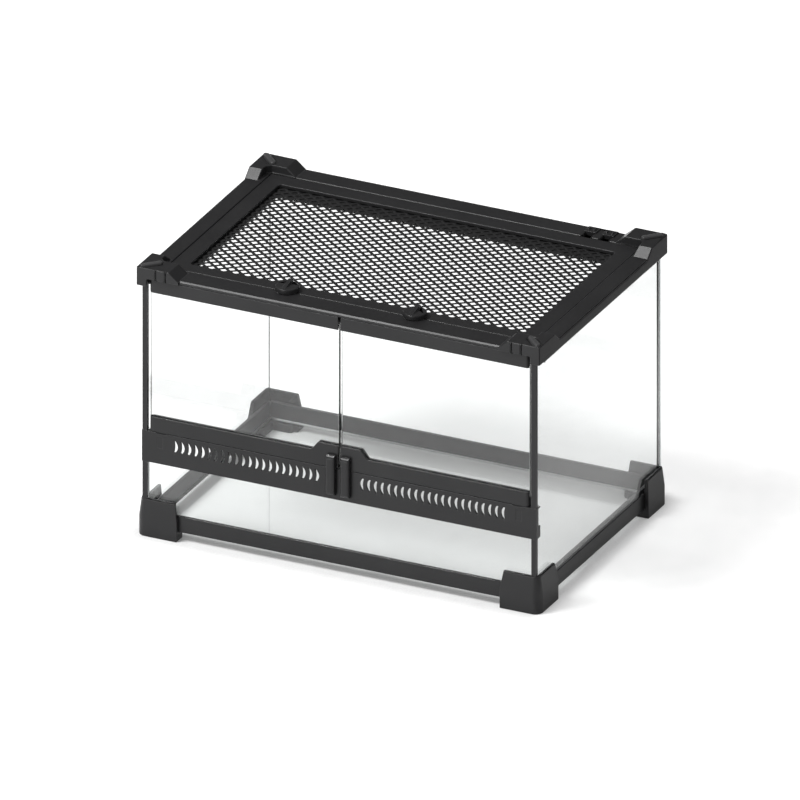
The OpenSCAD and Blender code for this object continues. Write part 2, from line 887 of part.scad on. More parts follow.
module door_bottom_rail() {
    z1 = door_z0 + door_foot_h;
    difference() {
        union() {
            translate([0, 0, door_z0]) linear_extrude(height = door_foot_h) door_plan();
            along_y(door_front, door_back)
                polygon([
                    [door_end - bump_l - bump_h * 0.8, z1 - 1], [door_end, z1 - 1],
                    [door_end, z1 + bump_h], [door_end - bump_l, z1 + bump_h],
                    [door_end - bump_l - bump_h * 0.8, z1]
                ]);
        }
        door_groove(z1 - door_grip, z1 + bump_h + 1);
        pin(hinge_in, hinge_y, door_z0 - 1, z1 - door_grip - 0.5, pin_r + 0.02);
        pin(magnet_x, hinge_y, door_z0 + 0.5, door_z0 + 4.6, magnet_r + 0.02);
    }
}

module door_pins() {
    pin(hinge_in, hinge_y, band_z1 - pin_reach, door_z0 + door_foot_h - door_grip - 0.6, pin_r);
    pin(hinge_in, hinge_y, door_z1 - door_top_h + door_grip + 0.6, plate_z0 + pin_reach, pin_r);
}

module door_magnet() {
    pin(magnet_x, hinge_y, door_z0 + 0.5, door_z0 + 4.5, magnet_r);
}

// an upright ridge with round edges, hanging in front of the band
module door_pull() {
    x0 = body_l / 2 - pull_from_mid - pull_w;
    x1 = body_l / 2 - pull_from_mid;
    y0 = band_in - pull_out;
    y1 = door_front;
    z1 = door_z0 + door_foot_h - 0.4;
    z0 = z1 - pull_l;
    r = pull_r;
    e = pull_out - 0.6;
    steps = [0 : 6];
    difference() {
        intersection() {
            translate([0, 0, z0])
                linear_extrude(height = pull_l)
                    hull() {
                        for (x = [x0 + r, x1 - r]) translate([x, y0 + r]) circle(r = r);
                        translate([x0, y1 - 0.5]) square([pull_w, 0.5]);
                    }
            along_x(x0 - 1, x1 + 1)
                polygon(concat(
                    [[y1, z0], [y1, z1]],
                    [for (k = steps) let (a = 15 * k) [y0 + e - e * sin(a), z1 - e + e * cos(a)]],
                    [for (k = steps) let (a = 15 * k) [y0 + e - e * cos(a), z0 + e - e * sin(a)]]
                ));
        }
        box([x0 - 1, x1 + 1], [band_in - 0.4, band_in + 9], [z0 - 1, door_z0]);
    }
}

module door_left_glass() {
    color("#dfe9ea", 0.3) at_corner() door_glass();
}

module door_left_top_rail() {
    color("#2b2b2d") at_corner() door_top_rail();
}

module door_left_bottom_rail() {
    color("#2b2b2d") at_corner() door_bottom_rail();
}

module door_left_pull() {
    color("#2b2b2d") at_corner() door_pull();
}

module door_left_pins() {
    color("#b5b6b8") at_corner() door_pins();
}

module door_left_magnet() {
    color("#a3a4a6") at_corner() door_magnet();
}

module door_right_glass() {
    flip_x() door_left_glass();
}

module door_right_top_rail() {
    flip_x() door_left_top_rail();
}

module door_right_bottom_rail() {
    flip_x() door_left_bottom_rail();
}

module door_right_pull() {
    flip_x() door_left_pull();
}

module door_right_pins() {
    flip_x() door_left_pins();
}

module door_right_magnet() {
    flip_x() door_left_magnet();
}

// ---- lid ----

// screw places: along both sides, the front bar and the back bar
module at_lid_screws() {
    xs = retainer_x + 3.2;
    mid = body_l / 2;
    back = retainer_y1 - 3.4;
    for (x = [xs, body_l - xs], y = [retainer_y0 + 4, (retainer_y0 + retainer_y1) / 2, back])
        translate([x, y, 0]) children();
    for (s = [-1, 1]) translate([mid + s * lock_x, back, 0]) children();
    for (x = tab_xs()) translate([x, retainer_y0 - retainer_tab / 2 + 0.2, 0]) children();
}

// middles of the tabs along the front of the retainer, clear of the cams
function tab_xs() = [for (s = [-1, 0, 1]) body_l / 2 + s * 1.8 * lock_x];

// rounds the corners of the window in the lid
module window_corners() {
    module corner() {
        difference() {
            box([win_x - 1, win_x + win_r], [win_y0 - 1, win_y0 + win_r], [lid_z0, lid_z1]);
            pin(win_x + win_r, win_y0 + win_r, lid_z0 - 1, lid_z1 + 1, win_r);
        }
    }
    for (i = [0, 1], j = [0, 1])
        translate([i * body_l, j * (win_y0 + win_y1), 0])
            mirror([i, 0, 0]) mirror([0, j, 0]) corner();
}

module lid_frame() {
    mid = body_l / 2;
    color("#2b2b2d") at_corner()
        difference() {
            union() {
                translate([0, 0, lid_z0])
                    linear_extrude(height = lid_t)
                        difference() {
                            union() {
                                translate([lid_x, lid_y0])
                                    square([body_l - 2 * lid_x, lid_y1 - lid_y0]);
                                for (s = [-1, 1])
                                    translate([mid + s * lock_x, lock_y]) circle(r = lobe_r);
                            }
                            translate([win_x, win_y0])
                                square([body_l - 2 * win_x, win_y1 - win_y0]);
                        }
                box([lid_x, lid_x + lid_skirt_t], [lid_y0 + 6, lid_y1], [seat_z + 0.05, lid_z0 + 1]);
                box([body_l - lid_x - lid_skirt_t, body_l - lid_x], [lid_y0 + 6, lid_y1],
                    [seat_z + 0.05, lid_z0 + 1]);
                box([lid_x, body_l - lid_x], [lid_y1 - lid_skirt_t, lid_y1],
                    [seat_z + 0.05, lid_z0 + 1]);
                for (s = [-1, 1])
                    pin(mid + s * lock_x, lock_y, lid_z0 + 1, knob_z0 - 0.05, 5.2);
                window_corners();
            }
            for (s = [-1, 1])
                pin(mid + s * lock_x, lock_y, lid_z0 - 1, knob_z0 + 1, shaft_r + shaft_gap);
            at_lid_screws() pin(0, 0, lid_z0 - 1, lid_z0 + 1.5, screw_r + 0.05);
        }
}

module mesh_retainer() {
    color("#2b2b2d") at_corner()
        difference() {
            for (x = tab_xs())
                box([x - retainer_tab / 2, x + retainer_tab / 2],
                    [retainer_y0 - retainer_tab + 0.4, retainer_y0 + 1], [retainer_z0, mesh_z0]);
            at_lid_screws() pin(0, 0, retainer_z0 - 1, lid_z0 + 1, screw_r + 0.05);
        }
    color("#2b2b2d") at_corner()
        difference() {
            for (x = tab_xs())
                box([x - retainer_tab / 2, x + retainer_tab / 2],
                    [retainer_y0 - retainer_tab + 0.4, retainer_y0], [mesh_z0 - 0.5, lid_z0]);
            at_lid_screws() pin(0, 0, retainer_z0 - 1, lid_z0 + 1, screw_r + 0.05);
        }
    color("#2b2b2d") at_corner()
        difference() {
            translate([0, 0, retainer_z0])
                linear_extrude(height = retainer_t)
                    difference() {
                        translate([retainer_x, retainer_y0])
                            square([body_l - 2 * retainer_x, retainer_y1 - retainer_y0]);
                        translate([mesh_x, mesh_y0])
                            square([body_l - 2 * mesh_x, mesh_y1 - mesh_y0]);
                    }
            at_lid_screws() pin(0, 0, retainer_z0 - 1, lid_z0 + 1, screw_r + 0.05);
        }
}

// one gap of the mesh, shrunk by half a strand
module mesh_gap() {
    d = mesh_px * mesh_py / sqrt(mesh_px * mesh_px + mesh_py * mesh_py);
    f = 1 - strand_w / 2 / d;
    polygon([[mesh_px * f, 0], [0, mesh_py * f], [-mesh_px * f, 0], [0, -mesh_py * f]]);
}

module lid_mesh() {
    ex = retainer_x + 1.4;
    y0 = retainer_y0 + 0.3;
    y1 = retainer_y1 - 1;
    my = (win_y0 + win_y1) / 2;
    half_x = body_l / 2 - win_x;
    half_y = (win_y1 - win_y0) / 2;
    nx = floor((half_x - mesh_px) / mesh_px);
    ny = floor((half_y - mesh_py) / mesh_py);
    color("#333335") at_corner()
        difference() {
            translate([0, 0, mesh_z0])
                linear_extrude(height = mesh_t)
                    difference() {
                        translate([ex, y0]) square([body_l - 2 * ex, y1 - y0]);
                        for (i = [-nx : nx], j = [-ny : ny])
                            if ((i + j) % 2 == 0)
                                translate([body_l / 2 + i * mesh_px, my + j * mesh_py]) mesh_gap();
                    }
            at_lid_screws() pin(0, 0, mesh_z0 - 1, lid_z0 + 1, screw_r + 0.05);
        }
}

module lid_screws() {
    color("#9a9a9c") at_corner()
        at_lid_screws() {
            pin(0, 0, retainer_z0 - 0.8, retainer_z0, 1.6);
            pin(0, 0, retainer_z0 - 0.4, lid_z0 + 1.4, screw_r);
        }
}

// ---- locks ----

module lock_knob() {
    difference() {
        union() {
            rotate_extrude()
                polygon([
                    [0, cam_z1], [shaft_r, cam_z1], [shaft_r, knob_z0], [knob_r - 0.3, knob_z0],
                    [knob_r, knob_z0 + 0.3], [knob_r, knob_z0 + knob_disc_t - 0.6],
                    [knob_r - 0.6, knob_z0 + knob_disc_t], [0, knob_z0 + knob_disc_t]
                ]);
            along_x(-fin_t / 2, fin_t / 2)
                polygon([
                    [-knob_r + 2, knob_z0 + 1], [-knob_r + 2, knob_z0 + knob_disc_t],
                    [-knob_r + 3.2, knob_z0 + knob_disc_t + 0.6],
                    [knob_r - 3.4, body_h - 0.5], [knob_r - 2, body_h - 0.7],
                    [knob_r - 1.2, knob_z0 + knob_disc_t], [knob_r - 1.2, knob_z0 + 1]
                ]);
        }
        pin(0, 0, cam_z1 - 1, cam_z1 + 3.2, 1.02);
    }
}

module lock_cam() {
    difference() {
        translate([0, 0, cam_z0])
            linear_extrude(height = cam_t)
                difference() {
                    circle(r = cam_r);
                    difference() {
                        translate([-20, -21]) square([40, 20]);
                        circle(r = shaft_r + 1);
                    }
                }
        pin(0, 0, cam_z0 - 1, cam_z1 + 1, 1.05);
    }
}

module lock_screw() {
    pin(0, 0, cam_z0 - 0.9, cam_z0, 2);
    pin(0, 0, cam_z0 - 0.5, cam_z1 + 3, 1);
}

module at_lock() {
    at_corner() translate([body_l / 2 - lock_x, lock_y, 0]) children();
}

module lock_knob_left() {
    color("#232325") at_lock() lock_knob();
}

module lock_cam_left() {
    color("#2b2b2d") at_lock() lock_cam();
}

module lock_screw_left() {
    color("#9a9a9c") at_lock() lock_screw();
}

module lock_knob_right() {
    flip_x() lock_knob_left();
}

module lock_cam_right() {
    flip_x() lock_cam_left();
}

module lock_screw_right() {
    flip_x() lock_screw_left();
}

// ---- cable shutters ----

// a plate on a T-shaped foot, drawn with its notch open
module shutter(x) {
    y = [body_w / 2 - rim_back_w + port_d + 0.2, body_w / 2 - rim_back_w + port_d + shutter_l + 0.2];
    w = shutter_w / 2;
    n = port_w / 2 - 0.1;
    box([x - w, x + w], y, [rim_z - 2.35, rim_z - 1.25]);
    box([x - n, x + n], y, [rim_z - 1.5, rim_z + 0.3]);
    box([x - w, x + w], y, [rim_z + 0.1, rim_z + 0.9]);
    for (s = [-1, 1])
        box([x + s * 2.15 - 0.5, x + s * 2.15 + 0.5], [y[0] + 2, y[1] - 2],
            [rim_z + 0.5, rim_z + 1.9]);
}

module cable_shutter_left() {
    color("#2b2b2d") shutter(body_l / 2 - port_a);
}

module cable_shutter_right() {
    color("#2b2b2d") shutter(body_l / 2 - port_a + port_pitch);
}

foot_front_left();
foot_front_right();
foot_back_left();
foot_back_right();
foot_screws();
bottom_rail_front();
bottom_rail_back();
bottom_rail_left();
bottom_rail_right();
floor_panel();
floor_seal();
pane_left();
pane_right();
pane_back();
pane_front();
strip_front_left_lower();
strip_front_left_upper();
strip_front_right_lower();
strip_front_right_upper();
strip_back_left();
strip_back_right();
vent_band();
door_keeper();
top_rail_front();
top_rail_back();
top_rail_left();
top_rail_right();
block_front_left();
block_front_right();
block_back_left();
block_back_right();
door_left_glass();
door_left_top_rail();
door_left_bottom_rail();
door_left_pull();
door_left_pins();
door_left_magnet();
door_right_glass();
door_right_top_rail();
door_right_bottom_rail();
door_right_pull();
door_right_pins();
door_right_magnet();
lid_frame();
lid_mesh();
mesh_retainer();
lid_screws();
lock_knob_left();
lock_cam_left();
lock_screw_left();
lock_knob_right();
lock_cam_right();
lock_screw_right();
cable_shutter_left();
cable_shutter_right();
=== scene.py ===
import bmesh
import bpy
import json
import math
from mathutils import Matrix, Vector


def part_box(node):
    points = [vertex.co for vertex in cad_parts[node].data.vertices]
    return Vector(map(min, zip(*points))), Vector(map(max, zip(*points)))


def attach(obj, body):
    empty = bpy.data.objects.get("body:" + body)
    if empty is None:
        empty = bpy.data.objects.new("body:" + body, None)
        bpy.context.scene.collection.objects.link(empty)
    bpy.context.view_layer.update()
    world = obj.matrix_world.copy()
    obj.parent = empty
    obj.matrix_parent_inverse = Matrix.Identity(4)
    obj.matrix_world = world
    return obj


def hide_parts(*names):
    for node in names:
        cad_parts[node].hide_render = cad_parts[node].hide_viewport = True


print("loading the packed terrarium")
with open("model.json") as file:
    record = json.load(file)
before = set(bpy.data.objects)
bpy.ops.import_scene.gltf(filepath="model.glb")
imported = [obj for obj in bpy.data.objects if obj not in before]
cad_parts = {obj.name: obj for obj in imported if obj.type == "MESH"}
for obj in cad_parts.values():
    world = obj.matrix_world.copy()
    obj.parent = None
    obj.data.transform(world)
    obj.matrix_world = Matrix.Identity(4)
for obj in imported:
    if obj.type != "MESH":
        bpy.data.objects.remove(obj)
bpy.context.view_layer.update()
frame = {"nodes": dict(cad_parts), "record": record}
nodes = frame["nodes"]
slotOf = {row["node"]: row["material_slot"] for row in frame["record"]["subparts"]}
mm = 0.001


def setInputs(tree, node, inputs):
    # an input is a plain value, or the socket that feeds it
    for key, value in inputs.items():
        if isinstance(value, bpy.types.NodeSocket):
            tree.links.new(value, node.inputs[key])
        else:
            node.inputs[key].default_value = value


def place(tree, kind, inputs=None, **settings):
    node = tree.nodes.new(kind)
    for key, value in settings.items():
        setattr(node, key, value)
    setInputs(tree, node, inputs or {})
    return node


def maths(tree, operation, *values, clamp=False):
    return place(tree, "ShaderNodeMath", dict(enumerate(values)), operation=operation,
                 use_clamp=clamp).outputs[0]


def vectorMaths(tree, operation, *values, output="Vector"):
    return place(tree, "ShaderNodeVectorMath", dict(enumerate(values)),
                 operation=operation).outputs[output]


def remap(tree, value, fromLow, fromHigh, toLow=0.0, toHigh=1.0, smooth=False):
    inputs = {0: value, 1: fromLow, 2: fromHigh, 3: toLow, 4: toHigh}
    kind = "SMOOTHSTEP" if smooth else "LINEAR"
    return place(tree, "ShaderNodeMapRange", inputs, interpolation_type=kind).outputs[0]


def blendColour(tree, factor, a, b):
    return place(tree, "ShaderNodeMix", {0: factor, 6: a, 7: b}, data_type="RGBA").outputs[2]


def blendValue(tree, factor, a, b):
    return place(tree, "ShaderNodeMix", {0: factor, 2: a, 3: b}).outputs[0]


def splitVector(tree, value):
    return place(tree, "ShaderNodeSeparateXYZ", {0: value}).outputs


def objectCoords(tree):
    return place(tree, "ShaderNodeTexCoord").outputs["Object"]


def noise(tree, coords, scale, detail, **more):
    inputs = {"Vector": coords, "Scale": scale, "Detail": detail, **more}
    return place(tree, "ShaderNodeTexNoise", inputs).outputs["Fac"]


def startGroup(name, inputs, outputs):
    tree = bpy.data.node_groups.new(name, "ShaderNodeTree")
    for label, value in inputs.items():
        socket = tree.interface.new_socket(label, in_out="INPUT", socket_type="NodeSocketFloat")
        socket.default_value = value
    for label in outputs:
        tree.interface.new_socket(label, in_out="OUTPUT", socket_type="NodeSocketFloat")
    return tree, tree.nodes.new("NodeGroupInput"), tree.nodes.new("NodeGroupOutput")


def useGroup(tree, group, **inputs):
    node = tree.nodes.new("ShaderNodeGroup")
    node.node_tree = group
    setInputs(tree, node, inputs)
    return node.outputs


def addPiece(name, data):
    piece = bpy.data.objects.new(name, data)
    bpy.context.scene.collection.objects.link(piece)
    return piece


print("making the shared surface effects")

mould = {"grainScale": 3200.0, "patchScale": 26.0, "pits": 0.45, "patchRange": (0.3, 0.7)}
# the paler edges: partly wear, partly a painted highlight
paleEdgeValues = {"spread": (0.995, 0.86), "samples": 4, "breakScale": 220.0, "breakRange": (0.3, 0.6),
       "least": 0.35}
settled = {"upward": (0.55, 1.0), "fleckScale": 420.0, "fleckRange": (0.42, 0.72), "least": 0.15}


def makeMouldGrain(values):
    # fine spark-eroded texture and the soft patches of a moulded surface
    tree, given, result = startGroup("mouldGrain", {"Scale": 1.0}, ["Height", "Patch"])
    coords = objectCoords(tree)
    fine = maths(tree, "MULTIPLY", given.outputs["Scale"], values["grainScale"])
    broad = maths(tree, "MULTIPLY", given.outputs["Scale"], values["patchScale"])
    grain = noise(tree, coords, fine, 2.0)
    pits = place(tree, "ShaderNodeTexVoronoi", {"Vector": coords, "Scale": fine})
    height = maths(tree, "MULTIPLY_ADD", pits.outputs["Distance"], values["pits"], grain)
    patch = remap(tree, noise(tree, coords, broad, 3.0, Roughness=0.55), *values["patchRange"])
    setInputs(tree, result, {"Height": height, "Patch": patch})
    return tree


def makeEdgeWearAndHighlight(values):
    # edges go a little paler: partly wear where hands and cloths go on rubbing, partly a painted
    # highlight along the rounded edges
    tree, given, result = startGroup("edgeWearAndHighlight", {"Radius": 0.0008, "Amount": 1.0}, ["Mask"])
    rounded = place(tree, "ShaderNodeBevel", {"Radius": given.outputs["Radius"]},
                    samples=values["samples"])
    flat = place(tree, "ShaderNodeNewGeometry")
    same = vectorMaths(tree, "DOT_PRODUCT", rounded.outputs[0], flat.outputs["Normal"],
                       output="Value")
    breakUp = noise(tree, objectCoords(tree), values["breakScale"], 3.0)
    worn = maths(tree, "MULTIPLY", remap(tree, same, *values["spread"]),
                 remap(tree, breakUp, *values["breakRange"], values["least"]))
    mask = maths(tree, "MULTIPLY", worn, given.outputs["Amount"], clamp=True)
    setInputs(tree, result, {"Mask": mask})
    return tree


def makeSettledDust(values):
    # a thin even film on what faces up, gathered into soft flecks
    tree, given, result = startGroup("settledDust", {"Amount": 1.0, "Scale": 1.0}, ["Mask"])
    facing = splitVector(tree, place(tree, "ShaderNodeNewGeometry").outputs["Normal"])["Z"]
    size = maths(tree, "MULTIPLY", given.outputs["Scale"], values["fleckScale"])
    flecks = noise(tree, objectCoords(tree), size, 4.0)
    film = remap(tree, facing, *values["upward"], smooth=True)
    spots = remap(tree, flecks, *values["fleckRange"], values["least"])
    mask = maths(tree, "MULTIPLY", maths(tree, "MULTIPLY", film, spots), given.outputs["Amount"],
                 clamp=True)
    setInputs(tree, result, {"Mask": mask})
    return tree


mouldGrain = makeMouldGrain(mould)
edgeWearAndHighlight = makeEdgeWearAndHighlight(paleEdgeValues)
settledDust = makeSettledDust(settled)


print("mixing the finishes")

plastic = {"colour": (0.0165, 0.0165, 0.0172, 1), "patchColour": (0.021, 0.021, 0.0218, 1),
           "paleEdgeColour": (0.06, 0.06, 0.061, 1), "dustColour": (0.32, 0.31, 0.30, 1),
           "roughness": 0.28, "patchRoughness": 0.06, "dustRoughness": 2.0, "ior": 1.34,
           "grain": 0.3, "grainDepth": 0.00003, "paleEdgeRadius": 0.0007, "dust": 0.02}
# a lighter copy of the black plastic for the bars on the corner blocks: painted light, so that they
# read lit
litBarPlastic = {**plastic, "colour": (0.045, 0.045, 0.046, 1),
                 "patchColour": (0.055, 0.055, 0.056, 1)}
netPaint = {"colour": (0.009, 0.009, 0.0095, 1), "patchColour": (0.016, 0.016, 0.0165, 1),
            "dustColour": (0.3, 0.29, 0.28, 1), "roughness": (0.42, 0.56), "grain": 0.4,
            "grainDepth": 0.00004, "grainScale": 0.6, "grainRange": (0.3, 0.9),
            "dust": 0.015, "dustScale": 1.4}
# smudges and tint of wiped glass; light is what the glass lets through to the ground
wipes = {"scale": 16.0, "distortion": 1.4, "smudgeRange": (0.58, 0.8), "tintRange": (0.4, 0.7),
         "tint": 0.995, "light": (0.985, 0.99, 0.988, 1)}
pane = {"colour": (0.955, 0.964, 0.961, 1), "roughness": 0.0, "smudge": 0.0, "ior": 1.5}
paneEdge = {"colour": (0.015, 0.02, 0.019, 1), "roughness": 0.12, "smudge": 0.1, "ior": 1.5}
sealant = {"colour": (0.8, 0.84, 0.84, 1), "roughness": 0.28, "smudge": 0.15, "ior": 1.41}
# the bead at the left can hardly be seen in the picture, so it bends light little
thinBead = {"colour": (0.97, 0.98, 0.98, 1), "roughness": 0.0, "smudge": 0.0, "ior": 1.1}
metal = {"grain": 0.25, "grainDepth": 0.00005, "lineScale": 900.0, "lineRange": (0.3, 0.7),
         "spotScale": 300.0, "spotRange": (0.4, 0.7), "roughRange": 0.16}
screwSteel = {**metal, "colour": (0.56, 0.56, 0.57, 1), "spotColour": (0.42, 0.42, 0.43, 1),
              "roughness": 0.28, "turned": 6.0}
nickel = {**metal, "colour": (0.62, 0.6, 0.56, 1), "spotColour": (0.5, 0.48, 0.45, 1),
          "roughness": 0.2, "turned": 1.0}


def startMaterial(name):
    material = bpy.data.materials.new(name)
    material.use_nodes = True
    return material, material.node_tree, material.node_tree.nodes["Principled BSDF"]


def roughen(tree, height, look):
    return place(tree, "ShaderNodeBump", {"Height": height, "Strength": look["grain"],
                                          "Distance": look["grainDepth"]}).outputs[0]


def makePlastic(name, look):
    material, tree, shader = startMaterial(name)
    grain = useGroup(tree, mouldGrain, Scale=1.0)
    edge = useGroup(tree, edgeWearAndHighlight, Radius=look["paleEdgeRadius"], Amount=1.0)["Mask"]
    film = useGroup(tree, settledDust, Amount=look["dust"], Scale=1.0)["Mask"]
    body = blendColour(tree, grain["Patch"], look["colour"], look["patchColour"])
    # paler edges: edge wear and a painted highlight
    body = blendColour(tree, edge, body, look["paleEdgeColour"])
    low = look["roughness"]
    rough = remap(tree, grain["Patch"], 0.0, 1.0, low, low + look["patchRoughness"])
    setInputs(tree, shader, {
        "Base Color": blendColour(tree, film, body, look["dustColour"]),
        "Roughness": maths(tree, "MULTIPLY_ADD", film, look["dustRoughness"], rough),
        "Normal": roughen(tree, grain["Height"], look),
        "IOR": look["ior"]})
    return material


def makeNetPaint(name, look):
    material, tree, shader = startMaterial(name)
    grain = useGroup(tree, mouldGrain, Scale=look["grainScale"])
    film = useGroup(tree, settledDust, Amount=look["dust"], Scale=look["dustScale"])["Mask"]
    body = blendColour(tree, grain["Patch"], look["colour"], look["patchColour"])
    setInputs(tree, shader, {
        "Base Color": blendColour(tree, film, body, look["dustColour"]),
        "Roughness": remap(tree, grain["Height"], *look["grainRange"], *look["roughness"]),
        "Normal": roughen(tree, grain["Height"], look)})
    return material


def makeClear(name, look, marks):
    # clear through and through; light passes to the ground and the inside
    material, tree, shader = startMaterial(name)
    wiped = noise(tree, objectCoords(tree), marks["scale"], 5.0, Distortion=marks["distortion"])
    low = look["roughness"]
    tinted = tuple(c * marks["tint"] for c in look["colour"][:3]) + (1,)
    tint = remap(tree, wiped, *marks["tintRange"])
    setInputs(tree, shader, {
        "Base Color": blendColour(tree, tint, look["colour"], tinted),
        "Roughness": remap(tree, wiped, *marks["smudgeRange"], low, low + look["smudge"]),
        "IOR": look["ior"],
        "Transmission Weight": 1.0})
    through = place(tree, "ShaderNodeBsdfTransparent", {"Color": marks["light"]}).outputs[0]
    path = place(tree, "ShaderNodeLightPath").outputs
    lit = maths(tree, "MAXIMUM", path["Is Shadow Ray"], path["Is Diffuse Ray"])
    mix = place(tree, "ShaderNodeMixShader", {0: lit, 1: shader.outputs[0], 2: through})
    setInputs(tree, tree.nodes["Material Output"], {"Surface": mix.outputs[0]})
    return material


def makeMetal(name, look):
    material, tree, shader = startMaterial(name)
    coords = objectCoords(tree)
    stretch = (1.0, 1.0, look["turned"])
    drawn = place(tree, "ShaderNodeMapping", {"Vector": coords, "Scale": stretch}).outputs[0]
    lines = noise(tree, drawn, look["lineScale"], 4.0)
    spots = remap(tree, noise(tree, coords, look["spotScale"], 2.0), *look["spotRange"])
    low = look["roughness"]
    setInputs(tree, shader, {
        "Base Color": blendColour(tree, spots, look["colour"], look["spotColour"]),
        "Roughness": remap(tree, lines, *look["lineRange"], low, low + look["roughRange"]),
        "Normal": roughen(tree, lines, look),
        "Metallic": 1.0})
    return material


finishes = {
    "black_plastic": makePlastic("moulded_black", plastic),
    "clear_glass": makeClear("float_glass", pane, wipes),
    "glass_edge": makeClear("ground_glass_edge", paneEdge, wipes),
    "sealant": makeClear("silicone_bead", sealant, wipes),
    "thin_bead": makeClear("thin_bead", thinBead, wipes),
    "lit_bar_plastic": makePlastic("painted_lit_black", litBarPlastic),
    "mesh": makeNetPaint("net_paint", netPaint),
    "steel": makeMetal("turned_steel", screwSteel),
    "magnet": makeMetal("nickel_plate", nickel),
}


print("rounding the moulded edges")

# the radius in millimetres; the longest start that fits a node's name counts
edgeRound = {"block_": 0.75, "foot_": 0.55, "bottom_rail_": 0.45, "top_rail_": 0.85,
             "top_rail_front": 1.4, "top_rail_back": 1.2, "lid_frame": 0.55,
             "mesh_retainer": 0.25, "vent_band": 0.16, "strip_": 0.2,
             "door_left_top": 0.4, "door_right_top": 0.4, "door_left_bottom": 0.4,
             "door_right_bottom": 0.4, "door_left_pull": 0.45, "door_right_pull": 0.45,
             "door_left_glass": 0.2, "door_right_glass": 0.2, "pane_": 0.2, "floor_panel": 0.2,
             "lock_knob": 0.35, "lock_cam": 0.25, "lock_screw": 0.15, "cable_shutter": 0.2,
             "foot_screws": 0.15, "lid_screws": 0.15}
# the picture shows the beads down the back corners as clear, not black
finishOf = {"strip_back_left": "thin_bead", "strip_back_right": "sealant"}
rounding = {"weldGap": 0.002, "flatAngle": math.radians(0.5), "sharpAngle": math.radians(24),
            "segments": 2, "normalWeight": 90}
# lengths in millimetres: skin is what moves with a side rail's outer face, and barRise and
# barSink are how far a block's plain bar stands up and how deep it goes under the round one
flush = {"seamGap": 0.03, "steepAngle": math.radians(60), "gentleShare": 0.45, "skin": 1.5,
         "barRise": 0.4, "barSink": 1.2}
seamAt = []   # the planes where a top rail meets its corner blocks: (axis, place)
for side, axis in (("front", 0), ("back", 0), ("left", 1), ("right", 1)):
    seamAt += [(axis, corner[axis]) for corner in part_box("top_rail_" + side)]


def makeFlush(name, values):
    # a copy of a rail or block with every sharp edge marked for rounding but those on a seam,
    # where two pieces stay flush
    node = nodes[name]
    isBlock = name.startswith("block_")
    shape = bmesh.new()
    shape.from_mesh(node.data)
    shape.transform(node.matrix_world)
    bmesh.ops.remove_doubles(shape, verts=shape.verts, dist=rounding["weldGap"] * mm)
    bmesh.ops.dissolve_limit(shape, angle_limit=rounding["flatAngle"], verts=shape.verts,
                             edges=shape.edges)
    if name in ("top_rail_left", "top_rail_right"):
        # the picture shows the side rails flush with the blocks, so their outer faces move out
        outer = max(abs(v.co.x) for v in shape.verts)
        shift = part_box("block_back_right")[1].x - outer
        for vertex in shape.verts:
            if abs(vertex.co.x) > outer - values["skin"] * mm:
                vertex.co.x += math.copysign(shift, vertex.co.x)
    weights = shape.edges.layers.float.new("bevel_weight_edge")
    for edge in shape.edges:
        onSeam = any(all(abs(v.co[axis] - at) < values["seamGap"] * mm for v in edge.verts)
                     for axis, at in seamAt)
        turn = edge.calc_face_angle(0.0)
        sharp = turn > rounding["sharpAngle"]
        gentle = isBlock and turn < values["steepAngle"]   # small chamfers, low ramps
        edge[weights] = 0.0 if onSeam or not sharp else values["gentleShare"] if gentle else 1.0
        edge.smooth = not (onSeam and sharp)
    if isBlock:
        top = max(v.co.z for v in shape.verts)
        for vertex in shape.verts:
            if vertex.co.z > top - values["barRise"] * mm:
                vertex.co.z = top - values["barSink"] * mm
    for face in shape.faces:
        face.smooth = True
    mesh = bpy.data.meshes.new("flush_" + name)
    shape.to_mesh(mesh)
    shape.free()
    mesh.materials.append(finishes[slotOf[name]])
    piece = addPiece("flush_" + name, mesh)
    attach(piece, "frame")
    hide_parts(name)
    return piece


def roundEdges(piece, radius, values):
    isFlush = piece.name.startswith("flush_")   # its edges are marked already
    marks = piece.data.attributes
    for label in ("custom_normal",) if isFlush else ("custom_normal", "sharp_edge"):
        if label in marks:
            marks.remove(marks[label])
    if not isFlush:
        piece.data.shade_smooth()
        weld = piece.modifiers.new("weld", "WELD")
        weld.merge_threshold = values["weldGap"] * mm
        if not piece.name.startswith("vent_band"):   # its slotted faces stay in small pieces
            flat = piece.modifiers.new("flat", "DECIMATE")
            flat.decimate_type = "DISSOLVE"
            flat.angle_limit = values["flatAngle"]
    bevel = piece.modifiers.new("round", "BEVEL")
    bevel.width = radius * mm
    bevel.segments = values["segments"]
    bevel.limit_method = "WEIGHT" if isFlush else "ANGLE"
    bevel.angle_limit = values["sharpAngle"]
    bevel.use_clamp_overlap = False
    bevel.miter_outer = "MITER_ARC"
    if isFlush:
        bevel.harden_normals = True
        return
    normals = piece.modifiers.new("normals", "WEIGHTED_NORMAL")
    normals.keep_sharp = False
    normals.weight = values["normalWeight"]


# the picture shows the cut edges of the door panes dark: the faces that look this far sideways
cutGlass = {"nodes": ("door_left_glass", "door_right_glass"), "sideways": 0.9}
for name, node in nodes.items():
    node.data.materials.clear()
    node.data.materials.append(finishes[finishOf.get(name, slotOf[name])])
    if name in cutGlass["nodes"]:
        node.data.materials.append(finishes["glass_edge"])
        for face in node.data.polygons:
            face.material_index = 1 if abs(face.normal.x) > cutGlass["sideways"] else 0
    match = [key for key in edgeRound if name.startswith(key)]
    if match:
        piece = makeFlush(name, flush) if name.startswith(("top_rail_", "block_")) else node
        roundEdges(piece, edgeRound[max(match, key=len)], rounding)


print("laying the lid net")

# millimetres; halfStep is half an opening's width and depth, and fatten makes up for the flat
# sides of a strand; strands are laid as far out as spread, and left out if under shortest
net = {"halfStep": (4.46, 3.43), "strand": 2.1, "layer": 0.6, "inset": 0.4, "sides": 8,
       "fatten": 1.08, "spread": 350, "shortest": 2.0}


